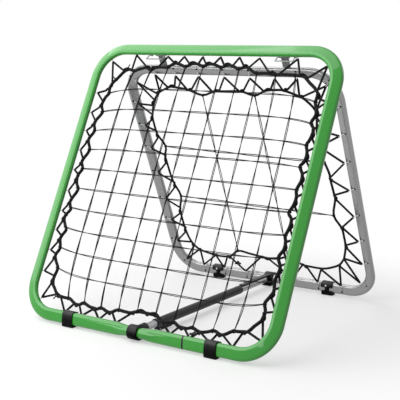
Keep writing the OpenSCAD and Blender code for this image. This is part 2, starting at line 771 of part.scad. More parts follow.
plug_bore = 8;
module stay_slide_plug() color("black") stay_place(stay_tube_end) difference() {
  cylinder(d = sleeve_bore - 2 * run_gap, h = bush_len);
  translate([0, 0, -1]) cylinder(d = plug_bore, h = bush_len + 2);
}

module stay_sleeve() color([0.2, 0.2, 0.2])
  stay_pipe(sleeve_start, sleeve_end, sleeve_d, sleeve_bore);

module stay_mouth_bush() color("black")
  stay_pipe(sleeve_start + 1, sleeve_start + mouth_len, sleeve_bore - press_fit,
            stay_d + 2 * run_gap);

module stay_rear_bush() color("black") {
  stay_pipe(sleeve_end - mouth_len, sleeve_end - 1, sleeve_bore - press_fit, stay_d + press_fit);
  stay_pipe(rear_tube_start + 1, rear_tube_start + bush_len, sleeve_bore - press_fit, stay_d + press_fit);
}

// The slots let the stud lift out as the tongue swings clear
module stay_rear_tube() color("silver") difference() {
  stay_pipe(rear_tube_start, rear_tube_end, stay_d, stay_d - 2 * stay_wall);
  for (i = [0:slot_count - 1])
    translate([stay_x, spread / 2 - stud_y + i * slot_pitch, bar_z + stay_rise]) {
      translate([0, tongue_gap, 0]) cylinder(d = slot_w, h = stay_d, $fn = 24);
      translate([0, -slot_free, 0]) cylinder(d = slot_w, h = stay_d, $fn = 24);
      translate([-slot_w / 2, -slot_free, 0]) cube([slot_w, slot_free + tongue_gap, stay_d]);
    }
}

end_plug_in = 10;
module stay_end_plug() color("black") stay_place(rear_tube_end - end_plug_in) {
  cylinder(d = stay_d - 2 * stay_wall - press_fit, h = end_plug_in);
  translate([0, 0, end_plug_in]) cylinder(d = stay_d, h = 2);
}

// Trigger and its cheeks under the sleeve's mouth. Heights are below the stay's axis
trigger_w = 8;
cheek_w = 18;
trigger_len = 66;
trigger_hub_r = 5.5;
trigger_pin_d = 4;
trigger_pin_y = sleeve_start + 20;
trigger_pin_z = -sleeve_d / 2 - trigger_hub_r - run_gap;
housing_low = trigger_pin_z - trigger_hub_r + run_gap;
housing_len = trigger_len + 22;
housing_nose = 4;
housing_slope = 8;
bump_start = 18;
bump_end = 44;
bump_depth = 2.5;
lever_t = 8.5;
lever_low = -4;

module trigger_axis() stay_place(trigger_pin_y) translate([0, -trigger_pin_z, 0]) along_x()
  children();

module trigger_housing() color("black") difference() {
  stay_side(cheek_w) translate([sleeve_start + housing_nose, 0]) polygon([
    [0, 0], [0, housing_low + housing_slope], [housing_slope, housing_low],
    [housing_len - housing_slope, housing_low],
    [housing_len, housing_low + housing_slope], [housing_len, 0]]);
  stay_place(sleeve_start) cylinder(d = sleeve_d + press_fit, h = 2 * housing_len);
  stay_side(trigger_w + 2 * run_gap)
    translate([sleeve_start + 2 * housing_nose, 2 * housing_low - sleeve_d / 2])
    square([housing_len - 2 * housing_nose, -2 * housing_low]);
  trigger_axis() cylinder(d = trigger_pin_d + press_fit, h = 2 * cheek_w, center = true, $fn = 24);
}

module trigger_pin() color("silver")
  trigger_axis() cylinder(d = trigger_pin_d, h = cheek_w, center = true, $fn = 24);

module stay_trigger() color("black") difference() {
  union() {
    stay_side(trigger_w - 2 * run_gap) translate([trigger_pin_y, trigger_pin_z]) polygon([
      [0, lever_low + lever_t], [trigger_len - lever_t / 2, lever_low + lever_t / 3],
      [trigger_len, lever_low + lever_t / 6], [trigger_len - 1, lever_low],
      [bump_end, lever_low], [bump_end - bump_depth, lever_low - bump_depth],
      [bump_start + bump_depth, lever_low - bump_depth], [bump_start, lever_low],
      [0, lever_low]]);
    trigger_axis() cylinder(r = trigger_hub_r, h = trigger_w, center = true);
  }
  trigger_axis() cylinder(d = trigger_pin_d + press_fit, h = 2 * cheek_w, center = true, $fn = 24);
}

front_tube();
front_tube_spigot();
front_net();
front_border_rope();
front_bungee();
front_bungee_crimp();
front_hooks();
front_foot_left();
front_foot_right();
front_foot_screws();
hinge_lugs();
hinge_pins();
bail_left();
bail_right();
rear_tube();
rear_tube_spigot();
rear_net();
rear_border_rope();
rear_bungee();
rear_bungee_crimp();
rear_hooks();
rear_foot_left();
rear_foot_right();
rear_foot_screws();
hinge_arms();
stay_collar();
stay_collar_cap();
stay_collar_screws();
stay_front_tube();
stay_slide_plug();
stay_sleeve();
stay_mouth_bush();
stay_rear_bush();
stay_rear_tube();
stay_end_plug();
trigger_housing();
trigger_pin();
stay_trigger();
rear_collar();
rear_collar_cap();
rear_collar_screws();
tongue_stud();
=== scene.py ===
import math
import random

import bmesh
import bpy
from mathutils import Matrix, Vector


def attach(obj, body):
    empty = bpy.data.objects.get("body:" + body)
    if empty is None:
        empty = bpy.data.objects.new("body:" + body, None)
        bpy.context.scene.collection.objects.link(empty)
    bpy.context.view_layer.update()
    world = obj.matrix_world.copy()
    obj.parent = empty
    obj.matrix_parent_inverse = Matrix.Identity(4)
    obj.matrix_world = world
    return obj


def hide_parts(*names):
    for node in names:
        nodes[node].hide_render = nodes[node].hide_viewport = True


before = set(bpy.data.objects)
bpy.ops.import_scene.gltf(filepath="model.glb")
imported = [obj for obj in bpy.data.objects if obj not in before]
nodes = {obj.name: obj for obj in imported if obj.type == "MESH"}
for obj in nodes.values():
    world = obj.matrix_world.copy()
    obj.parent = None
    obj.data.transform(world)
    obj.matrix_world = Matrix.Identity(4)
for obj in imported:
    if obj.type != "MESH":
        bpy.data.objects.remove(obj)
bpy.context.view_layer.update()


# ---- Camera --------------------------------------------------------------------------------
# A long lens stands low at the right front corner of the rebounder and looks slightly down. It
# is turned round the rebounder, raised, and rolled a little about its own axis.
CAMERA_PLACE = (1.9477, -2.8949, 1.0073)
camera_data = bpy.data.cameras.new("camera")
camera_data.lens = 89.35
camera_data.sensor_width = 36.0
camera_data.clip_end = 60.0
camera = bpy.data.objects.new("camera", camera_data)
bpy.context.scene.collection.objects.link(camera)
azimuth, elevation, roll = math.radians(34.58), math.radians(9.75), math.radians(-0.21)
back = Vector((math.sin(azimuth) * math.cos(elevation), -math.cos(azimuth) * math.cos(elevation),
               math.sin(elevation)))
level_right = Vector((0, 0, 1)).cross(back).normalized()
level_up = back.cross(level_right)
right = level_right * math.cos(roll) + level_up * math.sin(roll)
up = level_up * math.cos(roll) - level_right * math.sin(roll)
turn = Matrix((right, up, back)).transposed().to_4x4()
camera.matrix_world = Matrix.Translation(CAMERA_PLACE) @ turn
bpy.context.scene.camera = camera


# ---- Floor and light -----------------------------------------------------------------------
# A pale studio floor fades into a white surround. Soft walls of light stand at the left and in
# front, with one lamp overhead, one behind and an even fill from all round.
FLOOR_RADIUS, FADE_START, FADE_END = 14.0, 0.6, 1.25
FLOOR_GLOW, FILL_GLOW = 0.42, 0.27
floor_mesh = bpy.data.meshes.new("floor")
floor_build = bmesh.new()
bmesh.ops.create_circle(floor_build, cap_ends=True, segments=64, radius=FLOOR_RADIUS)
floor_build.to_mesh(floor_mesh)
floor_build.free()
floor = bpy.data.objects.new("floor", floor_mesh)
bpy.context.scene.collection.objects.link(floor)


def feed(tree, node, sockets):
    """Fills a node's sockets, each with a plain value or with another node's output."""
    for key, value in sockets.items():
        if isinstance(value, bpy.types.NodeSocket):
            tree.links.new(value, node.inputs[key])
        else:
            node.inputs[key].default_value = value


def add_node(tree, kind, sockets=None, **settings):
    """A new shader node with its settings made and its sockets filled."""
    node = tree.nodes.new("ShaderNode" + kind)
    for name, value in settings.items():
        setattr(node, name, value)
    feed(tree, node, sockets or {})
    return node


def calc(tree, operation, *values):
    """The result of a math node."""
    return add_node(tree, "Math", dict(enumerate(values)), operation=operation).outputs[0]


def tint(tree, share, first, second):
    """A colour that runs from the first to the second."""
    return add_node(tree, "Mix", {"Factor": share, "A": first, "B": second},
                    data_type="RGBA").outputs["Result"]


def new_material(name):
    """An empty node material and its output node."""
    made = bpy.data.materials.new(name)
    made.use_nodes = True
    made.node_tree.nodes.clear()
    return made, made.node_tree, add_node(made.node_tree, "OutputMaterial")


floor_material, tree, out = new_material("studio_floor")
floor_grain = add_node(tree, "TexNoise", {"Scale": 3.0})
floor_color = tint(tree, floor_grain.outputs["Fac"], (0.50, 0.50, 0.50, 1), (0.52, 0.52, 0.52, 1))
floor_shader = add_node(tree, "BsdfPrincipled", {"Base Color": floor_color, "Roughness": 0.9,
                                                 "Specular IOR Level": 0.1})
# To the camera and to reflections the floor fades into the white surround away from the part
paths = add_node(tree, "LightPath")
seen = calc(tree, "MAXIMUM", paths.outputs["Is Camera Ray"], paths.outputs["Is Glossy Ray"])
floor_place = add_node(tree, "TexCoord").outputs["Object"]
from_middle = add_node(tree, "VectorMath", {0: floor_place}, operation="LENGTH").outputs["Value"]
far_off = add_node(tree, "MapRange",
                   {"Value": from_middle, "From Min": FADE_START, "From Max": FADE_END},
                   interpolation_type="SMOOTHSTEP").outputs["Result"]
surround = add_node(tree, "Emission", {"Strength": 1.0}).outputs[0]
floor_glow = calc(tree, "MULTIPLY", seen, FLOOR_GLOW)
glow = add_node(tree, "Emission", {"Strength": floor_glow}).outputs[0]
lift = add_node(tree, "AddShader", {0: floor_shader.outputs[0], 1: glow}).outputs[0]
fade = calc(tree, "MULTIPLY", seen, far_off)
faded = add_node(tree, "MixShader", {0: fade, 1: lift, 2: surround})
feed(tree, out, {"Surface": faded.outputs[0]})
floor_mesh.materials.append(floor_material)

world = bpy.data.worlds.new("studio")
bpy.context.scene.world = world
bpy.context.scene.view_settings.view_transform = "Standard"
world.use_nodes = True
sky = world.node_tree
sky.nodes.clear()
sky_paths = add_node(sky, "LightPath")
sky_seen = calc(sky, "MAXIMUM", sky_paths.outputs["Is Camera Ray"],
                sky_paths.outputs["Is Transmission Ray"])
sky_white = calc(sky, "MAXIMUM", sky_seen, sky_paths.outputs["Is Glossy Ray"])
fill = add_node(sky, "Background", {"Strength": FILL_GLOW}).outputs[0]
white = add_node(sky, "Background", {"Color": (1, 1, 1, 1), "Strength": 1.0}).outputs[0]
sky_mix = add_node(sky, "MixShader", {0: sky_white, 1: fill, 2: white})
add_node(sky, "OutputWorld", {"Surface": sky_mix.outputs[0]})


def soft_box(name, place, target, width, height, glow):
    """A flat lamp of an even glow that faces its target and that no camera sees."""
    lamp_data = bpy.data.lights.new(name, "AREA")
    lamp_data.shape = "RECTANGLE"
    lamp_data.size = width
    lamp_data.size_y = height
    lamp_data.energy = glow * width * height * math.pi
    lamp = bpy.data.objects.new(name, lamp_data)
    aim = Vector(target) - Vector(place)
    lamp.rotation_euler = aim.to_track_quat("-Z", "Y").to_euler()
    lamp.location = place
    lamp.visible_camera = False
    bpy.context.scene.collection.objects.link(lamp)


# Each lamp: its name, its place, what it faces, its width, height and glow
soft_box("left_wall", (-2.6, 0.2, 1.45), (0, 0.2, 1.45), 4.2, 2.1, 0.7)
soft_box("upper_left", (-2.2, 0.2, 3.35), (0, 0.2, 0.9), 4.2, 2.2, 1.75)
soft_box("front_wall", (-1.05, -2.7, 2.65), (-0.588, -1.813, 2.65), 3.49, 4.5, 2.75)
soft_box("overhead", (-0.7, -1.0, 4.0), (-0.1, -0.2, 0.5), 3.0, 2.6, 1.6)
soft_box("back_light", (2.4, 2.6, 2.8), (0, 0, 0.5), 2.0, 2.0, 1.2)


# ---- Front frame tube ----------------------------------------------------------------------
# One steel tube, rolled to a flat oval and bent round four corners, then powder coated in a
# glossy grass green. Its ends meet on a spigot in the bottom run.
COLOR, FLOAT, VECTOR = "NodeSocketColor", "NodeSocketFloat", "NodeSocketVector"


def add_group(name, inputs, outputs):
    """A shader node group with the given sockets, and its input and output nodes."""
    group = bpy.data.node_groups.new(name, "ShaderNodeTree")
    for label, kind, value in inputs:
        socket = group.interface.new_socket(name=label, in_out="INPUT", socket_type=kind)
        socket.default_value = value
    for label, kind in outputs:
        group.interface.new_socket(name=label, in_out="OUTPUT", socket_type=kind)
    return group, group.nodes.new("NodeGroupInput").outputs, group.nodes.new("NodeGroupOutput")


# Orange peel, faint cloudiness and fine scratches in a sprayed or moulded skin
skin, skin_in, skin_out = add_group(
    "sprayed_skin",
    [("Color", COLOR, (0.5, 0.5, 0.5, 1)), ("Shade", COLOR, (0.4, 0.4, 0.4, 1)),
     ("Cloud Scale", FLOAT, 9.0), ("Peel Scale", FLOAT, 420.0), ("Roughness", FLOAT, 0.3),
     ("Scuffing", FLOAT, 0.15)],
    [("Color", COLOR), ("Roughness", FLOAT), ("Height", FLOAT)])
skin_place = add_node(skin, "TexCoord").outputs["Object"]
cloud = add_node(skin, "TexNoise", {"Vector": skin_place, "Scale": skin_in["Cloud Scale"],
                                    "Detail": 3.0})
peel = add_node(skin, "TexNoise", {"Vector": skin_place, "Scale": skin_in["Peel Scale"],
                                   "Detail": 1.0})
scratch = add_node(skin, "TexNoise", {"Vector": skin_place, "Scale": 60.0, "Detail": 6.0,
                                      "Distortion": 1.5})
scratch_cut = add_node(skin, "MapRange", {"Value": scratch.outputs["Fac"], "From Min": 0.56,
                                          "From Max": 0.72})
scuffed = calc(skin, "MULTIPLY", scratch_cut.outputs["Result"], skin_in["Scuffing"])
feed(skin, skin_out, {
    "Color": tint(skin, cloud.outputs["Fac"], skin_in["Color"], skin_in["Shade"]),
    "Roughness": calc(skin, "ADD", skin_in["Roughness"], scuffed),
    "Height": peel.outputs["Fac"]})


def effect_material(name, group, group_values, bump, depth, shader_values):
    """A material whose colour, gloss and relief come from a group with its own values."""
    made, tree, out = new_material(name)
    effect = add_node(tree, "Group", node_tree=group, name="effect")
    feed(tree, effect, group_values)
    dent = add_node(tree, "Bump", {"Strength": bump, "Distance": depth,
                                   "Height": effect.outputs["Height"]}, name="dent")
    shader = add_node(tree, "BsdfPrincipled", shader_values, name="shader")
    feed(tree, shader, {"Base Color": effect.outputs["Color"], "Normal": dent.outputs["Normal"]})
    if "Roughness" in effect.outputs:
        feed(tree, shader, {"Roughness": effect.outputs["Roughness"]})
    feed(tree, out, {"Surface": shader.outputs[0]})
    return made


PEEL_DEPTH = 0.001


def skinned(name, color, shade, roughness, peel_scale=420.0, bump=0.03, cloud_scale=9.0,
            scuffing=0.15, metallic=0.0, coat=0.0, specular=0.5):
    """A coated or moulded material whose colour, gloss and peel come from sprayed_skin."""
    return effect_material(
        name, skin,
        {"Color": (*color, 1), "Shade": (*shade, 1), "Cloud Scale": cloud_scale,
         "Peel Scale": peel_scale, "Roughness": roughness, "Scuffing": scuffing},
        bump, PEEL_DEPTH,
        {"Metallic": metallic, "Coat Weight": coat, "Coat Roughness": 0.08, "Coat IOR": 1.52,
         "Specular IOR Level": specular})


def dress(material, *names):
    """Puts a material on CAD nodes."""
    for name in names:
        for mesh_slot in nodes[name].material_slots:
            mesh_slot.material = material


WELD_GAP = 0.00001
SHARP_EDGE = math.radians(35)


def modify(name, label, kind, **settings):
    """Adds a modifier to a CAD node."""
    made = nodes[name].modifiers.new(label, kind)
    for key, value in settings.items():
        setattr(made, key, value)


green_paint = skinned("green_powder_coat", (0.016, 0.295, 0.013), (0.013, 0.270, 0.011), 0.24,
                      bump=0.003, scuffing=0.03, coat=1.0, specular=0.1)
dress(green_paint, "front_tube")

# Painted shade darkens the two lips of the joint in the bottom run, widening the shaded groove
# between them
JOINT_X, JOINT_REACH, BOTTOM_RUN_TOP = 0.188, 0.0036, 0.09
JOINT_SHADE = (0.004, 0.012, 0.004, 1)
paint = green_paint.node_tree
paint_place = add_node(paint, "TexCoord").outputs["Object"]
paint_axes = add_node(paint, "SeparateXYZ", {0: paint_place}).outputs
near_joint = calc(paint, "COMPARE", paint_axes["X"], JOINT_X, JOINT_REACH)
in_bottom_run = calc(paint, "LESS_THAN", paint_axes["Z"], BOTTOM_RUN_TOP)
joint_shaded = calc(paint, "MULTIPLY", near_joint, in_bottom_run)
# The joint's painted shade is mixed into the green beside the groove
feed(paint, paint.nodes["shader"], {
    "Base Color": tint(paint, joint_shaded, paint.nodes["effect"].outputs["Color"], JOINT_SHADE)})

# The slopes beside the round neck are shaded as one smooth form, and the joint's lips stay sharp
modify("front_tube", "weld", "WELD", merge_threshold=WELD_GAP)
modify("front_tube", "lips", "EDGE_SPLIT", split_angle=SHARP_EDGE)
modify("front_tube", "even", "WEIGHTED_NORMAL", mode="CORNER_ANGLE")


# ---- Rear frame tube -----------------------------------------------------------------------
# A slimmer oval steel tube, bent the same way and powder coated in a satin silver grey. It
# stands behind the front frame, against its top, and carries the wide-mesh net.
silver_paint = skinned("silver_powder_coat", (0.330, 0.330, 0.330), (0.290, 0.292, 0.295), 0.22,
                       peel_scale=650.0, bump=0.004, scuffing=0.03, metallic=0.60, coat=0.35)
dress(silver_paint, "rear_tube")


# ---- Spigots, pins, screws, bails and silver stay tubes ------------------------------------
# Turned or drawn steel with a bright zinc plating, or bare tube, that is brushed along its
# length. The bails are bent from wire and swing on the hinge pins.
steel, steel_in, steel_out = add_group(
    "drawn_steel",
    [("Color", COLOR, (0.6, 0.6, 0.6, 1)), ("Dark", COLOR, (0.4, 0.4, 0.4, 1)),
     ("Along", VECTOR, (40.0, 1200.0, 1200.0)), ("Roughness", FLOAT, 0.25)],
    [("Color", COLOR), ("Roughness", FLOAT), ("Height", FLOAT)])
steel_place = add_node(steel, "TexCoord").outputs["Object"]
stretch = add_node(steel, "VectorMath", {0: steel_place, 1: steel_in["Along"]},
                   operation="MULTIPLY")
line = add_node(steel, "TexNoise", {"Vector": stretch.outputs[0], "Scale": 1.0, "Detail": 3.0})
tarnish = add_node(steel, "TexNoise", {"Vector": steel_place, "Scale": 35.0})
feed(steel, steel_out, {
    "Color": tint(steel, tarnish.outputs["Fac"], steel_in["Color"], steel_in["Dark"]),
    "Roughness": calc(steel, "MULTIPLY_ADD", line.outputs["Fac"], 0.25, steel_in["Roughness"]),
    "Height": line.outputs["Fac"]})

# The drawing lines' relief, and the noise scales that stretch them along one axis
LINE_BUMP, LINE_DEPTH = 0.08, 0.0004
ALONG_X, ALONG_Y = (40, 900, 900), (900, 30, 900)


def drawn_metal(name, color, dark, along, roughness):
    """Bare metal with drawing lines along one direction."""
    return effect_material(
        name, steel,
        {"Color": (*color, 1), "Dark": (*dark, 1), "Along": along, "Roughness": roughness},
        LINE_BUMP, LINE_DEPTH, {"Metallic": 0.9})


zinc = drawn_metal("zinc_plate", (0.62, 0.62, 0.63), (0.42, 0.42, 0.44), ALONG_X, 0.22)
bright_tube = drawn_metal("bright_tube", (0.38, 0.38, 0.39), (0.28, 0.28, 0.30), ALONG_Y, 0.12)
bail_wire = drawn_metal("bail_wire", (0.40, 0.40, 0.41), (0.25, 0.25, 0.26), ALONG_X, 0.30)
dress(zinc, "rear_tube_spigot", "hinge_pins", "front_foot_screws", "rear_foot_screws",
      "stay_collar_screws", "rear_collar_screws", "trigger_pin", "tongue_stud")
dress(bright_tube, "stay_front_tube", "stay_rear_tube")
dress(bail_wire, "bail_left", "bail_right")


# ---- Hinge arms and lugs -------------------------------------------------------------------
# Pressed steel straps welded to the tubes, in a mid grey satin paint. The spigot that shows in
# the bottom run's joint is painted near-black, as painted shade in the joint's groove.
PRESSED_EDGE = 0.0006


def soften(width, *names):
    """Rounds the sharp edges of moulded or pressed CAD nodes."""
    for name in names:
        modify(name, "weld", "WELD", merge_threshold=WELD_GAP)
        modify(name, "edge_round", "BEVEL", width=width, segments=2, limit_method="ANGLE",
               angle_limit=SHARP_EDGE, harden_normals=True)


hinge_paint = skinned("grey_hinge_paint", (0.200, 0.202, 0.205), (0.165, 0.167, 0.170), 0.40,
                      bump=0.03, coat=0.15)
spigot_shade = skinned("spigot_painted_shade", (0.030, 0.032, 0.030), (0.020, 0.021, 0.020), 0.45)
dress(hinge_paint, "hinge_lugs", "hinge_arms")
# The spigot's near-black colour is painted shade for the groove that it fills
dress(spigot_shade, "front_tube_spigot")
soften(PRESSED_EDGE, "hinge_arms", "hinge_lugs")


# ---- Collars, stay sleeve and trigger ------------------------------------------------------
# Moulded glass-filled nylon with a fine spark grain, and a steel sleeve in satin black. The
# collars are painted lighter on top as painted top light, with a faint gloss there.
MOULDED_EDGE = 0.0008
top_light, top_light_in, top_light_out = add_group(
    "painted_top_light",
    [("Color", COLOR, (0.01, 0.01, 0.01, 1)), ("Lit Top", COLOR, (0.03, 0.03, 0.03, 1)),
     ("Low", FLOAT, 0.02), ("High", FLOAT, 0.05), ("Gloss", FLOAT, 0.3)],
    [("Color", COLOR), ("Gloss", FLOAT)])
top_light_place = add_node(top_light, "TexCoord").outputs["Object"]
top_light_axes = add_node(top_light, "SeparateXYZ", {0: top_light_place}).outputs
# Painted top light: the colour runs lighter with height, and the coat grows glossier there
lit_share = add_node(top_light, "MapRange", {"Value": top_light_axes["Z"], "From Min": top_light_in["Low"],
                                         "From Max": top_light_in["High"]},
                      interpolation_type="SMOOTHSTEP").outputs["Result"]
feed(top_light, top_light_out, {"Color": tint(top_light, lit_share, top_light_in["Color"], top_light_in["Lit Top"]),
                      "Gloss": calc(top_light, "MULTIPLY", lit_share, top_light_in["Gloss"])})


def paint_light_above(material, low, high, lit_tone, gloss):
    """Paints top light on a skinned material: a lighter colour and a glossier coat from a low
    height up to a high one.
    """
    tree = material.node_tree
    painted_top_light = add_node(tree, "Group", node_tree=top_light)
    feed(tree, painted_top_light, {"Color": tree.nodes["effect"].outputs["Color"],
                          "Lit Top": (lit_tone, lit_tone, lit_tone, 1), "Low": low, "High": high,
                          "Gloss": gloss})
    feed(tree, tree.nodes["shader"], {"Base Color": painted_top_light.outputs["Color"],
                                      "Coat Weight": painted_top_light.outputs["Gloss"],
                                      "Coat Roughness": 0.3, "Specular IOR Level": 0.02})


collar_nylon = skinned("collar_nylon", (0.003, 0.003, 0.0033), (0.005, 0.005, 0.0055), 0.28,
                       peel_scale=900.0, bump=0.15, cloud_scale=40.0, scuffing=0.2)
paint_light_above(collar_nylon, low=0.020, high=0.060, lit_tone=0.010, gloss=0.45)
nylon = skinned("grained_nylon", (0.005, 0.005, 0.0055), (0.009, 0.009, 0.0095), 0.28,
                peel_scale=900.0, bump=0.15, cloud_scale=40.0, scuffing=0.2, specular=0.16)
sleeve_paint = skinned("sleeve_satin_black", (0.007, 0.0071, 0.0073), (0.005, 0.0051, 0.0053),
                       0.28, bump=0.03, coat=0.08, specular=0.20)
dress(collar_nylon, "stay_collar", "stay_collar_cap", "rear_collar", "rear_collar_cap")
dress(nylon, "stay_slide_plug", "stay_mouth_bush", "stay_rear_bush", "stay_end_plug",
      "trigger_housing", "stay_trigger")
dress(sleeve_paint, "stay_sleeve")
soften(MOULDED_EDGE, "stay_collar", "stay_collar_cap", "rear_collar", "rear_collar_cap",
       "trigger_housing", "stay_trigger")


# ---- Feet ----------------------------------------------------------------------------------
# Moulded rubber feet, wrapped round the bottom runs and held by screws, with fine ribs and a dull
# skin that is painted lighter on top as painted top light.
RIB_PITCH, RIB_DEPTH, RIB_BUMP, RUBBER_EDGE = 0.0055, 0.0007, 0.7, 0.0012
FEET = ("front_foot_left", "front_foot_right", "rear_foot_left", "rear_foot_right")
foot_rubber = skinned("foot_rubber", (0.005, 0.005, 0.0055), (0.009, 0.009, 0.0095), 0.42,
                      peel_scale=700.0, bump=0.12, cloud_scale=60.0, scuffing=0.2,
                      specular=0.13)
paint_light_above(foot_rubber, low=0.022, high=0.062, lit_tone=0.018, gloss=0.55)
rubber = foot_rubber.node_tree
rubber_place = add_node(rubber, "TexCoord").outputs["Object"]
rubber_axes = add_node(rubber, "SeparateXYZ", {0: rubber_place}).outputs
rib_turn = calc(rubber, "MULTIPLY", rubber_axes["X"], 2 * math.pi / RIB_PITCH)
rib_wave = calc(rubber, "SINE", rib_turn)
ribs = add_node(rubber, "Bump", {"Strength": RIB_BUMP, "Distance": RIB_DEPTH,
                                 "Height": rib_wave})
feed(rubber, rubber.nodes["dent"], {"Normal": ribs.outputs["Normal"]})
dress(foot_rubber, *FEET)
soften(RUBBER_EDGE, *FEET)


# ---- Border rope of the front net ----------------------------------------------------------
# A braided rope runs round the front net, drawn in where each twine is tied to it and out
# where the bungee is wound on. Places in a frame and the radii of cords are in millimetres.

# The frame's lean from upright, and its bottom bar's distance from the middle and height
FRONT_LEAN, BAR_Y, BAR_Z = math.radians(26.8), 0.435, 0.02942


def on_front(u, v, w):
    """A place in the front frame's plane, from millimetres across, up and out of its face."""
    u, v, w = u / 1000, v / 1000, w / 1000
    return Vector((u, v * math.sin(FRONT_LEAN) - w * math.cos(FRONT_LEAN) - BAR_Y,
                   v * math.cos(FRONT_LEAN) + w * math.sin(FRONT_LEAN) + BAR_Z))


def distances(points):
    """How far along a line of points each of them lies."""
    along = [0.0]
    for a, b in zip(points, points[1:]):
        along.append(along[-1] + (b - a).length)
    return along


def finished(name, build):
    """The smooth mesh of a bmesh, which is freed."""
    made = bpy.data.meshes.new(name)
    build.to_mesh(made)
    build.free()
    made.shade_smooth()
    return made


def cord_mesh(name, runs, radius, rings=1):
    """One mesh of round cords. Each run is (points, closed). The UV map is in metres."""
    joined = bmesh.new()
    for points, closed in runs:
        curve = bpy.data.curves.new(name, "CURVE")
        curve.dimensions = "3D"
        curve.bevel_depth = radius / 1000
        curve.bevel_resolution = rings
        curve.use_fill_caps = not closed
        spline = curve.splines.new("POLY")
        spline.points.add(len(points) - 1)
        for knot, point in zip(spline.points, points):
            knot.co = (*point, 1)
        spline.use_cyclic_u = closed
        holder = bpy.data.objects.new(name, curve)
        part = bpy.data.meshes.new_from_object(holder)
        along = distances(points + points[:1])
        steps = len(points) if closed else len(points) - 1
        girth = 2 * math.pi * radius / 1000
        for corner in part.uv_layers[0].data:
            corner.uv = (along[round(corner.uv.x * steps)], corner.uv.y * girth)
        joined.from_mesh(part)
        bpy.data.objects.remove(holder)
        bpy.data.curves.remove(curve)
        bpy.data.meshes.remove(part)
    return finished(name, joined)


def add_piece(name, mesh, material, body, slot_name, *stands_for):
    """Puts a finished mesh in the scene as a piece that rides on a body."""
    piece = bpy.data.objects.new(name, mesh)
    bpy.context.scene.collection.objects.link(piece)
    mesh.materials.clear()
    mesh.materials.append(material)
    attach(piece, body)
    if stands_for:
        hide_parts(*stands_for)


def smooth_loop(points, steps=3):
    """A closed Catmull-Rom curve through the points."""
    count = len(points)
    made = []
    for i in range(count):
        p0, p1, p2, p3 = (points[(i + k) % count] for k in (-1, 0, 1, 2))
        for s in range(steps):
            t = s / steps
            made.append(0.5 * (2 * p1 + (p2 - p0) * t + (2 * p0 - 5 * p1 + 4 * p2 - p3) * t ** 2
                               + (3 * p1 - p0 - 3 * p2 + p3) * t ** 3))
    return made


# Braided or twisted yarns that follow a cord's UV map
braid, braid_in, braid_out = add_group(
    "braid",
    [("Color", COLOR, (0.02, 0.02, 0.02, 1)), ("Light", COLOR, (0.05, 0.05, 0.05, 1)),
     ("Yarn", FLOAT, 0.004), ("Twist", FLOAT, 1.0), ("Fuzz", FLOAT, 0.3)],
    [("Color", COLOR), ("Height", FLOAT)])
cord_uv = add_node(braid, "UVMap", uv_map="UVMap").outputs[0]
cord_axes = add_node(braid, "SeparateXYZ", {0: cord_uv}).outputs
turned = calc(braid, "MULTIPLY", cord_axes["Y"], braid_in["Twist"])
rate = calc(braid, "DIVIDE", 2 * math.pi, braid_in["Yarn"])
one_way, other_way = (
    calc(braid, "SINE", calc(braid, "MULTIPLY", calc(braid, way, cord_axes["X"], turned), rate))
    for way in ("ADD", "SUBTRACT"))
crossed = calc(braid, "MAXIMUM", one_way, other_way)
raised = calc(braid, "MULTIPLY_ADD", crossed, 0.5, 0.5)
fuzz_place = add_node(braid, "TexCoord").outputs["Object"]
fuzz = add_node(braid, "TexNoise", {"Vector": fuzz_place, "Scale": 700.0,
                                    "Detail": 4.0}).outputs["Fac"]
catching = calc(braid, "MULTIPLY", raised, fuzz)
fuzzed = calc(braid, "MULTIPLY", fuzz, braid_in["Fuzz"])
feed(braid, braid_out, {"Color": tint(braid, catching, braid_in["Color"], braid_in["Light"]),
                        "Height": calc(braid, "ADD", raised, fuzzed)})


YARN_BUMP = 0.6


def braided(name, color, light, yarn, twist, depth, roughness=0.75, fuzz=0.3):
    """A textile cord whose yarns follow its length."""
    return effect_material(
        name, braid,
        {"Color": (*color, 1), "Light": (*light, 1), "Yarn": yarn, "Twist": twist, "Fuzz": fuzz},
        YARN_BUMP, depth,
        {"Roughness": roughness, "Sheen Weight": 0.03, "Sheen Roughness": 0.5,
         "Specular IOR Level": 0.1})


rope_cover = braided("braided_rope", (0.004, 0.004, 0.0045), (0.014, 0.014, 0.015),
                     yarn=0.005, twist=0.9, depth=0.0006)

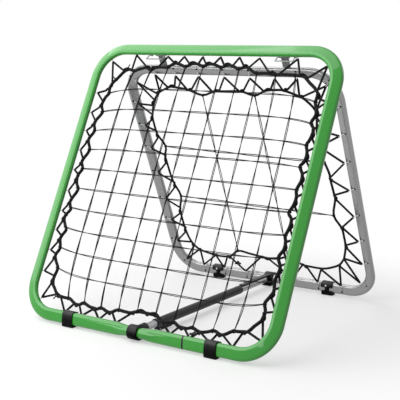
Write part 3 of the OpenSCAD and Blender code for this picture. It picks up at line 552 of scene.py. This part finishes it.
NET_BACK, FRONT_ROPE_R = -13, 5.8
FRONT_BORDER = [
    (-421, 886), (-408, 900), (-385, 929), (-368, 939), (-353, 938), (-337, 935), (-312, 943),
    (-285, 949), (-263, 939), (-243, 951), (-213, 952), (-191, 952), (-164, 968), (-136, 963),
    (-114, 956), (-92, 966), (-70, 968), (-54, 964), (-40, 958), (-24, 965), (-2, 968),
    (18, 963), (38, 956), (56, 963), (75, 964), (95, 958), (110, 952), (138, 959),
    (160, 950), (182, 938), (226, 938), (260, 934), (292, 936), (336, 934), (369, 930),
    (383, 921), (399, 907), (419, 892), (434, 876), (437, 862), (436, 837), (448, 815),
    (447, 793), (438, 770), (451, 752), (453, 735), (448, 711), (441, 694), (449, 672),
    (451, 653), (446, 634), (437, 620), (452, 595), (454, 573), (449, 557), (445, 540),
    (451, 518), (448, 491), (438, 464), (452, 447), (454, 425), (449, 403), (445, 389),
    (452, 370), (452, 345), (440, 320), (453, 293), (455, 279), (449, 254), (448, 238),
    (453, 211), (442, 189), (432, 169), (441, 145), (436, 117), (430, 109), (416, 95),
    (399, 75), (386, 72), (364, 69), (345, 67), (320, 52), (303, 49), (279, 57),
    (254, 49), (226, 44), (196, 53), (177, 47), (144, 48), (125, 58), (108, 56),
    (78, 53), (59, 63), (45, 68), (7, 70), (-32, 69), (-57, 61), (-87, 61),
    (-114, 62), (-134, 51), (-153, 49), (-183, 58), (-199, 51), (-213, 52), (-235, 54),
    (-264, 63), (-279, 54), (-301, 54), (-329, 68), (-351, 68), (-367, 69), (-384, 72),
    (-399, 81), (-414, 97), (-422, 105), (-429, 128), (-423, 165), (-438, 186), (-452, 211),
    (-440, 238), (-452, 271), (-448, 287), (-437, 308), (-449, 326), (-460, 345), (-460, 362),
    (-444, 385), (-452, 400), (-457, 419), (-437, 461), (-452, 485), (-458, 515), (-445, 540),
    (-452, 557), (-458, 573), (-438, 614), (-452, 642), (-457, 661), (-441, 691), (-453, 724),
    (-430, 763), (-438, 782), (-444, 798), (-436, 826), (-426, 840), (-429, 864),
]


def rope_piece(name, border, put, depth, radius, body, stands_for):
    """A border rope. Gives back the line that it follows."""
    route = smooth_loop([put(u, v, depth) for u, v in border])
    add_piece(name, cord_mesh(name, [(route, True)], radius, rings=2), rope_cover, body,
              "rope", stands_for)
    return route


front_rope = rope_piece("front_rope", FRONT_BORDER, on_front, NET_BACK, FRONT_ROPE_R,
                        "front_frame", "front_border_rope")


# ---- Bungee of the front net ---------------------------------------------------------------
# One elastic cord zigzags between the wire hooks and the border rope. It is wound round the
# rope between two hooks, and its ends meet in a crimp at the bottom.
BUNGEE_R, BEND_R, LARGEST_CUT, STEPS_PER_TURN = 4.0, 4.0, 0.45, 8
# How deep the bungee lies in the rope's own thickness, and the rope's length for one turn
FRONT_SINK, FRONT_WIND = 2.4, 75
bungee_cover = braided("bungee_cover", (0.003, 0.003, 0.0035), (0.010, 0.010, 0.011),
                       yarn=0.0032, twist=1.0, depth=0.0004, roughness=0.6)


def rounded_path(points, radius):
    """A closed path whose corners are rounded."""
    made = []
    for i, point in enumerate(points):
        before, after = points[i - 1], points[(i + 1) % len(points)]
        cut = min(radius, (before - point).length * LARGEST_CUT,
                  (after - point).length * LARGEST_CUT)
        a = point + (before - point).normalized() * cut
        b = point + (after - point).normalized() * cut
        for t in (0.0, 0.33, 0.67, 1.0):
            made.append(a * (1 - t) ** 2 + point * 2 * t * (1 - t) + b * t ** 2)
    return made


def along_rope(rope, start, end):
    """The rope's points from near one place to near another, the way the rope runs."""
    first = min(range(len(rope)), key=lambda k: (rope[k] - start).length)
    last = min(range(len(rope)), key=lambda k: (rope[k] - end).length)
    count = (last - first) % len(rope)
    if count > len(rope) // 2:
        return [start, end]
    return [start] + [rope[(first + k) % len(rope)] for k in range(1, count)] + [end]


def wound(run, face, reach, pitch):
    """A path that is wound round a run of rope, in whole turns and a half."""
    along = distances(run)
    turns = max(0, round(along[-1] / pitch)) + 0.5
    steps = max(3, round(turns * STEPS_PER_TURN))
    heading = (run[-1] - run[0]).normalized()
    across = face.cross(heading).normalized()
    path = []
    for k in range(steps + 1):
        passed = along[-1] * k / steps
        m = max(n for n in range(len(along) - 1) if along[n] <= passed + 1e-9)
        share = (passed - along[m]) / max(along[m + 1] - along[m], 1e-9)
        angle = math.pi / 2 - 2 * math.pi * turns * k / steps
        spot = run[m].lerp(run[m + 1], share)
        path.append(spot + (across * math.cos(angle) + face * math.sin(angle)) * reach)
    return path


def bungee_piece(name, lace, rope, put, depth, reach, pitch, body, stands_for):
    """A bungee that goes from hook to rope, round the rope and out to the next hook."""
    path = []
    face = (put(0, 0, 1) - put(0, 0, 0)).normalized()
    for i, (hook, _, goes_on) in enumerate(lace):
        comes_off = lace[(i + 1) % len(lace)][1]
        run = along_rope(rope, put(*goes_on, depth), put(*comes_off, depth))
        path += [put(*hook, depth)] + wound(run, face, reach / 1000, pitch / 1000)
    cord = cord_mesh(name, [(rounded_path(path, BEND_R / 1000), True)], BUNGEE_R)
    add_piece(name, cord, bungee_cover, body, "bungee", stands_for)


# Each entry: the hook, where the cord comes off the rope before it, and where it goes on after
FRONT_LACE = [
    ((-451, 970), (-427, 873), (-384, 933)), ((-348, 998), (-357, 940), (-280, 949)),
    ((-202, 994), (-244, 950), (-163, 968)), ((-130, 995), (-157, 968), (-95, 965)),
    ((-50, 995), (-69, 968), (-24, 965)), ((25, 995), (-4, 968), (53, 962)),
    ((103, 995), (77, 964), (134, 960)), ((184, 993), (143, 959), (240, 938)),
    ((332, 993), (265, 935), (358, 933)), ((447, 969), (381, 928), (436, 876)),
    ((476, 843), (437, 859), (448, 815)), ((476, 767), (449, 792), (452, 743)),
    ((476, 689), (451, 720), (451, 669)), ((476, 612), (449, 645), (453, 592)),
    ((476, 535), (454, 568), (451, 514)), ((476, 458), (448, 491), (454, 439)),
    ((476, 381), (453, 415), (452, 367)), ((476, 304), (449, 342), (454, 291)),
    ((476, 227), (451, 267), (453, 215)), ((476, 150), (445, 193), (438, 139)),
    ((457, 52), (436, 117), (398, 74)), ((358, 18), (378, 70), (314, 51)),
    ((273, 18), (288, 49), (233, 44)), ((196, 18), (222, 44), (171, 46)),
    ((119, 18), (142, 48), (78, 53)), ((-106, 18), (-57, 62), (-127, 50)),
    ((-180, 18), (-157, 49), (-206, 50)), ((-257, 18), (-218, 52), (-275, 54)),
    ((-335, 18), (-309, 56), (-366, 68)), ((-457, 53), (-397, 76), (-426, 106)),
    ((-481, 148), (-430, 137), (-448, 194)), ((-481, 227), (-454, 215), (-452, 259)),
    ((-481, 304), (-452, 282), (-459, 337)), ((-481, 376), (-458, 364), (-458, 397)),
    ((-480, 454), (-457, 422), (-456, 485)), ((-481, 535), (-458, 517), (-455, 554)),
    ((-481, 613), (-459, 576), (-457, 639)), ((-480, 690), (-457, 664), (-453, 705)),
    ((-481, 763), (-453, 727), (-444, 782)), ((-480, 842), (-445, 807), (-437, 849)),
]
bungee_piece("front_bungee_cord", FRONT_LACE, front_rope, on_front, NET_BACK,
             FRONT_ROPE_R + BUNGEE_R - FRONT_SINK, FRONT_WIND, "front_frame", "front_bungee")


# ---- Twines of the front net ---------------------------------------------------------------
# Ten twines each way, each laid up from two thin strands that turn about each other. They are
# knotted where they cross and tied round the border rope at their ends.
random.seed(7)
MESH_COUNT, NET_MIDDLE, HALF_NET, MIDDLE_PITCH = 10, 505, 430, 80
# The twines' spacing at the net's ends, what is added in its middle, and the uprights' spacing
# and sideways shift at their lower ends
END_PITCH, EXTRA_PITCH = 74.9, 5.2
FOOT_PITCH, FOOT_SHIFT = 76.2, 6
# How far a twine's strands part, and the length in which they turn half round each other
UPRIGHT_GAP, UPRIGHT_TURN = 1.1, 150
LEVEL_GAP, LEVEL_TURN = 0.9, 190
STRAND_R, LEVEL_R, LAY = 1.7, 1.36, 0.8
STRAND_STEP, LEAST_STEPS, END_TAPER, DRIFT = 9, 12, 12, (0.8, 1.25)
# A ring of tying twine: its thickness, its distance from the rope, and its steps along it
TIE_TWINE_R, TIE_GAP, RING_STEPS, RING_RISE = 1.1, 0.7, 8, 0.28
FRONT_KNOT_R, KNOT_SHAPE = 2.6, (1.25, 0.95, 0.9, 1)
twine_yarn = braided("net_twine", (0.003, 0.003, 0.0035), (0.010, 0.010, 0.011),
                     yarn=0.0022, twist=0.8, depth=0.0002, roughness=0.65, fuzz=0.5)


def swell(share):
    """A flat-topped bulge, 1 in the middle and 0 at -1 and 1."""
    return 1 - abs(share) ** 6


def pitch_at(share):
    """The twines stand a little closer at the net's ends than in its middle."""
    return END_PITCH + EXTRA_PITCH * swell(share)


def border_hits(border, index, value):
    """Where the border crosses u (index 0) or v (index 1) = value, first low and then high."""
    other = 1 - index
    found = []
    for a, b in zip(border, border[1:] + border[:1]):
        if (a[index] - value) * (b[index] - value) <= 0 and a[index] != b[index]:
            t = (value - a[index]) / (b[index] - a[index])
            found.append(a[other] + (b[other] - a[other]) * t)
    return min(found), max(found)


def strands(ends, put, depth, bow, apart, turn):
    """Two thin strands of a twine, which lie together and part again as the twine turns."""
    (u1, v1), (u2, v2) = ends
    length = math.hypot(u2 - u1, v2 - v1)
    side = Vector((-(v2 - v1), u2 - u1)) / length
    steps = max(LEAST_STEPS, round(length / STRAND_STEP))
    start = random.uniform(0, math.pi)
    drift = random.uniform(*DRIFT)
    pair = ([], [])
    for k in range(steps + 1):
        t = k / steps
        bulge = bow * swell(2 * t - 1)
        phase = start + math.pi * length * t / turn * drift
        ends_in = min(1, END_TAPER * t, END_TAPER * (1 - t))
        gap = (STRAND_R * LAY + apart * ends_in) * math.cos(phase)
        for strand, sign in zip(pair, (1, -1)):
            off = sign * gap + bulge
            strand.append(put(u1 + (u2 - u1) * t + side.x * off,
                              v1 + (v2 - v1) * t + side.y * off,
                              depth + sign * STRAND_R * LAY * math.sin(phase)))
    return [(strand, False) for strand in pair]


def tie_ring(place, along, put, depth, radius):
    """Two turns of twine round the border rope, as a run for cord_mesh."""
    ring = []
    out = Vector((-along.y, along.x))
    for k in range(2 * RING_STEPS + 1):
        angle = 2 * math.pi * k / RING_STEPS
        spot = (Vector(place) + out * radius * math.cos(angle)
                + along * (k - RING_STEPS) * RING_RISE)
        ring.append(put(spot.x, spot.y, depth + radius * math.sin(angle)))
    return ring, False


def knot_mesh(spots, depth, radius, put):
    """Small lumpy knots where twines cross."""
    build = bmesh.new()
    for u, v in spots:
        lump = bmesh.ops.create_icosphere(build, subdivisions=1, radius=radius / 1000)
        spin = Matrix.Rotation(random.uniform(0, 3), 4, "Z") @ Matrix.Diagonal(KNOT_SHAPE)
        bmesh.ops.transform(build, matrix=Matrix.Translation(put(u, v, depth)) @ spin,
                            verts=lump["verts"])
    return finished("knots", build)


def join_meshes(name, *parts):
    """One mesh from several. A part without a UV map gets none of its own."""
    build = bmesh.new()
    for part in parts:
        build.from_mesh(part)
        bpy.data.meshes.remove(part)
    return finished(name, build)


upright_runs, level_runs, front_ties, uprights = [], [], [], []
places = [i - (MESH_COUNT - 1) / 2 for i in range(MESH_COUNT)]
for place in places:
    foot_u, head_u = FOOT_SHIFT + place * FOOT_PITCH, place * pitch_at(1)
    foot = (foot_u, border_hits(FRONT_BORDER, 0, foot_u)[0])
    head = (head_u, border_hits(FRONT_BORDER, 0, head_u)[1])
    upright_bow = (foot_u + head_u) / 2 - place * pitch_at(0)
    uprights.append((foot, head, upright_bow))
    upright_runs += strands((foot, head), on_front, NET_BACK, upright_bow, UPRIGHT_GAP,
                            UPRIGHT_TURN)
    level_v = NET_MIDDLE + place * pitch_at(1)
    start, end = ((hit, level_v) for hit in border_hits(FRONT_BORDER, 1, level_v))
    level_bow = NET_MIDDLE + place * pitch_at(0) - level_v
    level_runs += strands((start, end), on_front, NET_BACK, level_bow, LEVEL_GAP, LEVEL_TURN)
    for tied, along in ((foot, (1, 0)), (head, (1, 0)), (start, (0, 1)), (end, (0, 1))):
        front_ties.append(tie_ring(tied, Vector(along), on_front, NET_BACK,
                                   FRONT_ROPE_R + TIE_GAP))
front_knots = []
for column, ((foot_u, low), (head_u, high), upright_bow) in zip(places, uprights):
    for row in places:
        v = NET_MIDDLE + row * pitch_at(column * MIDDLE_PITCH / HALF_NET)
        t = (v - low) / (high - low)
        u = foot_u + (head_u - foot_u) * t - upright_bow * swell(2 * t - 1)
        front_knots.append((u, v))
front_twines = join_meshes(
    "front_twines", cord_mesh("uprights", upright_runs, STRAND_R, rings=0),
    cord_mesh("levels", level_runs, LEVEL_R, rings=0),
    cord_mesh("ties", front_ties, TIE_TWINE_R, rings=0),
    knot_mesh(front_knots, NET_BACK, FRONT_KNOT_R, on_front))
add_piece("front_twines", front_twines, twine_yarn, "front_frame", "twine", "front_net")


# ---- Border rope, bungee and twines of the rear net ----------------------------------------
# The wide-mesh net behind has a thinner border rope, the same bungee and two twines each way.
# It is laced like the front one, on the side of the rear frame that faces it.
REAR_LEAN, REAR_BACK, REAR_ROPE_R = math.radians(22.863), 12, 4.4
REAR_SINK, REAR_WIND, REAR_GAP, REAR_TURN, REAR_KNOT_R = 2.2, 80, 1.8, 170, 2.8


def on_rear(u, v, w):
    """A place in the rear frame's plane, with w towards the front frame."""
    u, v, w = u / 1000, v / 1000, w / 1000
    return Vector((u, BAR_Y - v * math.sin(REAR_LEAN) - w * math.cos(REAR_LEAN),
                   v * math.cos(REAR_LEAN) - w * math.sin(REAR_LEAN) + BAR_Z))


REAR_BORDER = [
    (-314, 807), (-299, 818), (-253, 837), (-232, 838), (-192, 833), (-164, 827), (-110, 809),
    (-57, 825), (-10, 828), (33, 830), (65, 830), (115, 816), (161, 836), (211, 841),
    (240, 839), (297, 818), (322, 800), (346, 768), (344, 728), (336, 686), (334, 636),
    (333, 593), (343, 564), (354, 521), (354, 493), (358, 436), (358, 411), (340, 343),
    (363, 293), (366, 254), (365, 211), (351, 161), (343, 146), (324, 123), (290, 106),
    (247, 94), (179, 96), (161, 100), (104, 124), (61, 111), (18, 106), (-21, 109),
    (-74, 116), (-124, 121), (-167, 88), (-189, 83), (-232, 82), (-274, 89), (-314, 100),
    (-339, 121), (-353, 150), (-360, 186), (-362, 214), (-360, 289), (-337, 354), (-353, 406),
    (-360, 450), (-362, 521), (-362, 539), (-346, 580), (-369, 625), (-373, 650), (-372, 703),
    (-362, 732), (-347, 768), (-332, 789),
]
rear_rope = rope_piece("rear_rope", REAR_BORDER, on_rear, REAR_BACK, REAR_ROPE_R,
                       "rear_frame", "rear_border_rope")

REAR_LACE = [
    ((-401, 853), (-342, 774), (-312, 810)), ((-304, 886), (-309, 814), (-253, 837)),
    ((-211, 884), (-232, 838), (-165, 828)), ((-108, 884), (-159, 827), (-57, 826)),
    ((3, 884), (-37, 826), (61, 830)), ((110, 883), (67, 830), (161, 836)),
    ((210, 884), (181, 839), (240, 839)), ((299, 886), (249, 841), (298, 818)),
    ((405, 863), (303, 816), (347, 763)), ((421, 777), (346, 743), (340, 703)),
    ((421, 674), (336, 689), (334, 628)), ((421, 567), (334, 620), (354, 503)),
    ((421, 456), (354, 489), (358, 434)), ((421, 347), (358, 409), (363, 294)),
    ((421, 240), (365, 287), (366, 220)), ((421, 140), (365, 200), (351, 161)),
    ((398, 53), (345, 148), (326, 124)), ((314, 25), (321, 121), (249, 91)),
    ((214, 25), (240, 91), (186, 93)), ((105, 25), (163, 98), (20, 106)),
    ((-111, 25), (-19, 107), (-164, 87)), ((-214, 25), (-187, 83), (-232, 81)),
    ((-314, 25), (-240, 82), (-307, 96)), ((-397, 40), (-315, 100), (-337, 118)),
    ((-421, 128), (-349, 128), (-359, 184)), ((-421, 231), (-360, 198), (-360, 274)),
    ((-419, 331), (-360, 291), (-351, 398)), ((-422, 453), (-355, 411), (-362, 508)),
    ((-421, 565), (-362, 534), (-367, 620)), ((-419, 665), (-374, 641), (-373, 698)),
    ((-422, 761), (-372, 711), (-350, 760)),
]
bungee_piece("rear_bungee_cord", REAR_LACE, rear_rope, on_rear, REAR_BACK,
             REAR_ROPE_R + BUNGEE_R - REAR_SINK, REAR_WIND, "rear_frame", "rear_bungee")

REAR_TWINES = [((-124, 121), (-110, 809)), ((104, 124), (115, 816)),
               ((-346, 580), (343, 564)), ((-337, 354), (340, 343))]
rear_runs, rear_ties = [], []
for ends in REAR_TWINES:
    rear_runs += strands(ends, on_rear, REAR_BACK, 0, REAR_GAP, REAR_TURN)
    (u1, v1), (u2, v2) = ends
    along = Vector((abs(v2 - v1), abs(u2 - u1))).normalized()
    rear_ties += [tie_ring(end, along, on_rear, REAR_BACK, REAR_ROPE_R + TIE_GAP)
                  for end in ends]
rear_knots = [(-119, 575), (110, 570), (-119, 351), (107, 347)]
rear_twines = join_meshes("rear_twines", cord_mesh("twines", rear_runs, STRAND_R, rings=0),
                          cord_mesh("ties", rear_ties, TIE_TWINE_R, rings=0),
                          knot_mesh(rear_knots, REAR_BACK, REAR_KNOT_R, on_rear))
add_piece("rear_twines", rear_twines, twine_yarn, "rear_frame", "twine", "rear_net")


# ---- Hooks ---------------------------------------------------------------------------------
# J-shaped hooks of galvanised wire. A hook's end is bent into a hole in the tube, and its open
# eye lies round the bungee.
HOOK_R, EYE_R, EYE_NECK = 1.15, 4.2, 6
# How far the wire passes the tube's edge, and the length of its end that is bent in
HOLE_DEPTH, END_LENGTH = 4, 6
EYE_ANGLES = [math.radians(-60 - 30 * k) for k in range(7)]
# Half the width, the height and the corner radius of each frame, and how far its hooks climb
FRONT_SIZE, FRONT_CLIMB = (500, 1014, 112), 0
REAR_SIZE, REAR_CLIMB = (440.5, 909.4, 100), 10


def tube_side(u, v, half_w, height, corner_r):
    """The direction from a place beside a frame's tube to the tube, and the distance."""
    inner_u = max(-half_w + corner_r, min(half_w - corner_r, u))
    inner_v = max(corner_r, min(height - corner_r, v))
    if inner_u != u and inner_v != v:
        way = Vector((u - inner_u, v - inner_v))
        return way.normalized(), corner_r - way.length
    gaps = [(half_w - u, (1, 0)), (half_w + u, (-1, 0)), (height - v, (0, 1)), (v, (0, -1))]
    gap, way = min(gaps)
    return Vector(way), gap


def hook_piece(name, lace, put, size, depth, facing, climb, body, stands_for):
    """A frame's hooks. Gives back the places where their ends enter the tube."""
    wires, holes = [], []
    for (u, v), _, _ in lace:
        way, gap = tube_side(u, v, *size)
        hole = gap + HOLE_DEPTH
        profile = [(hole, depth + facing * END_LENGTH), (hole, depth + facing), (hole - 1, depth),
                   (EYE_NECK, depth - facing * 0.5)]
        profile += [(EYE_R * math.cos(angle), depth + facing * EYE_R * math.sin(angle))
                    for angle in EYE_ANGLES]
        rise = climb * abs(way.x) / hole
        wires.append(([put(u + way.x * x, v + way.y * x + rise * max(x, 0), w)
                       for x, w in profile], False))
        holes.append((u + way.x * hole, v + (way.y + rise) * hole))
    add_piece(name, cord_mesh(name, wires, HOOK_R), zinc, body, "bare_steel", stands_for)
    return holes


hook_piece("front_wire_hooks", FRONT_LACE, on_front, FRONT_SIZE, NET_BACK, 1, FRONT_CLIMB,
           "front_frame", "front_hooks")
rear_holes = hook_piece("rear_wire_hooks", REAR_LACE, on_rear, REAR_SIZE, REAR_BACK, -1,
                        REAR_CLIMB, "rear_frame", "rear_hooks")


# ---- Hook plugs ----------------------------------------------------------------------------
# Small black plastic plugs are pushed into the rear tube's holes over the ends of the hooks.
# Each lies flat on the tube, where a ray from in front of the frame meets it.
PLUG_R, PLUG_FLAT, RAY_START = 0.0042, 0.4, 40
plug_build = bmesh.new()
inward = (on_rear(0, 0, -1) - on_rear(0, 0, 0)).normalized()
for u, v in rear_holes:
    _, spot, way, _ = nodes["rear_tube"].ray_cast(on_rear(u, v, RAY_START), inward)
    dome = bmesh.ops.create_uvsphere(plug_build, u_segments=12, v_segments=6, radius=PLUG_R)
    lean = way.to_track_quat("Z", "Y").to_matrix().to_4x4() @ Matrix.Diagonal(
        (1, 1, PLUG_FLAT, 1))
    bmesh.ops.transform(plug_build, matrix=Matrix.Translation(spot) @ lean, verts=dome["verts"])
add_piece("rear_hook_plugs", finished("rear_hook_plugs", plug_build), nylon, "rear_frame",
          "crimp")


# ---- Bungee crimps -------------------------------------------------------------------------
# A short moulded sleeve is pressed over the two ends of each bungee, which stick out of it.
# It sits on a leg of the bungee at the bottom of each net.
CRIMP_R, CRIMP_ALONG = 6.6, (-8, -6, 6, 8)
# The tails' radius, how far each reaches to which side, their slope and their lift
TAIL_R, TAILS, TAIL_SLOPE, TAIL_LIFT = 3.6, ((1, 15), (-1, 12)), 0.12, 4


def crimp_piece(name, place, ends, put, depth, body, stands_for):
    """A crimp at a place on a leg of the bungee, and the cord's two cut ends beside it."""
    u, v = place
    (au, av), (bu, bv) = ends
    along = Vector((bu - au, bv - av)).normalized()
    sleeve = [put(u + along.x * x, v + along.y * x, depth) for x in CRIMP_ALONG]
    tails = []
    for side, length in TAILS:
        way = Vector((side, TAIL_SLOPE * side))
        tails.append(([put(u, v, depth + TAIL_LIFT),
                       put(u + way.x * length / 2, v + way.y * 4, depth + TAIL_LIFT + 1),
                       put(u + way.x * length, v + way.y * length, depth + TAIL_LIFT)], False))
    crimp = join_meshes(name, cord_mesh("sleeve", [(sleeve, False)], CRIMP_R, rings=2),
                        cord_mesh("tails", tails, TAIL_R))
    add_piece(name, crimp, nylon, body, "crimp", stands_for)


crimp_piece("front_crimp", (207, 33), ((196, 18), (222, 44)), on_front, NET_BACK, "front_frame",
            "front_bungee_crimp")
crimp_piece("rear_crimp", (-138, 60), ((-111, 25), (-164, 87)), on_rear, REAR_BACK, "rear_frame",
            "rear_bungee_crimp")


# ---- Cable ties on the front rope ----------------------------------------------------------
# Three black nylon ties hold the front rope's lap, at the upper left and the lower left corner.
# Each is pulled tight round the rope, and its cut tail stands off it.

# Each entry: the tie's place in the frame, and the direction of its tail
CABLE_TIES = [((-372, 940), (0.45, 0.9)), ((-413, 899), (-0.8, 0.6)), ((-389, 72), (-0.5, -0.85))]
CABLE_TIE_REACH, CABLE_TIE_R, CABLE_TIE_STEPS, TAIL_SPOTS = 7.2, 2.2, 12, (5, 12, 20)
tie_runs = []
for (u, v), (way_u, way_v) in CABLE_TIES:
    ring = []
    for k in range(CABLE_TIE_STEPS):
        angle = 2 * math.pi * k / CABLE_TIE_STEPS
        out = CABLE_TIE_REACH * math.cos(angle)
        ring.append(on_front(u + out * way_u, v + out * way_v,
                             NET_BACK + CABLE_TIE_REACH * math.sin(angle)))
    tail = [on_front(u + way_u * x, v + way_v * x, NET_BACK + 2 + x / 8) for x in TAIL_SPOTS]
    tie_runs += [(ring, True), (tail, False)]
add_piece("front_cable_ties", cord_mesh("front_cable_ties", tie_runs, CABLE_TIE_R), nylon,
          "front_frame", "crimp")
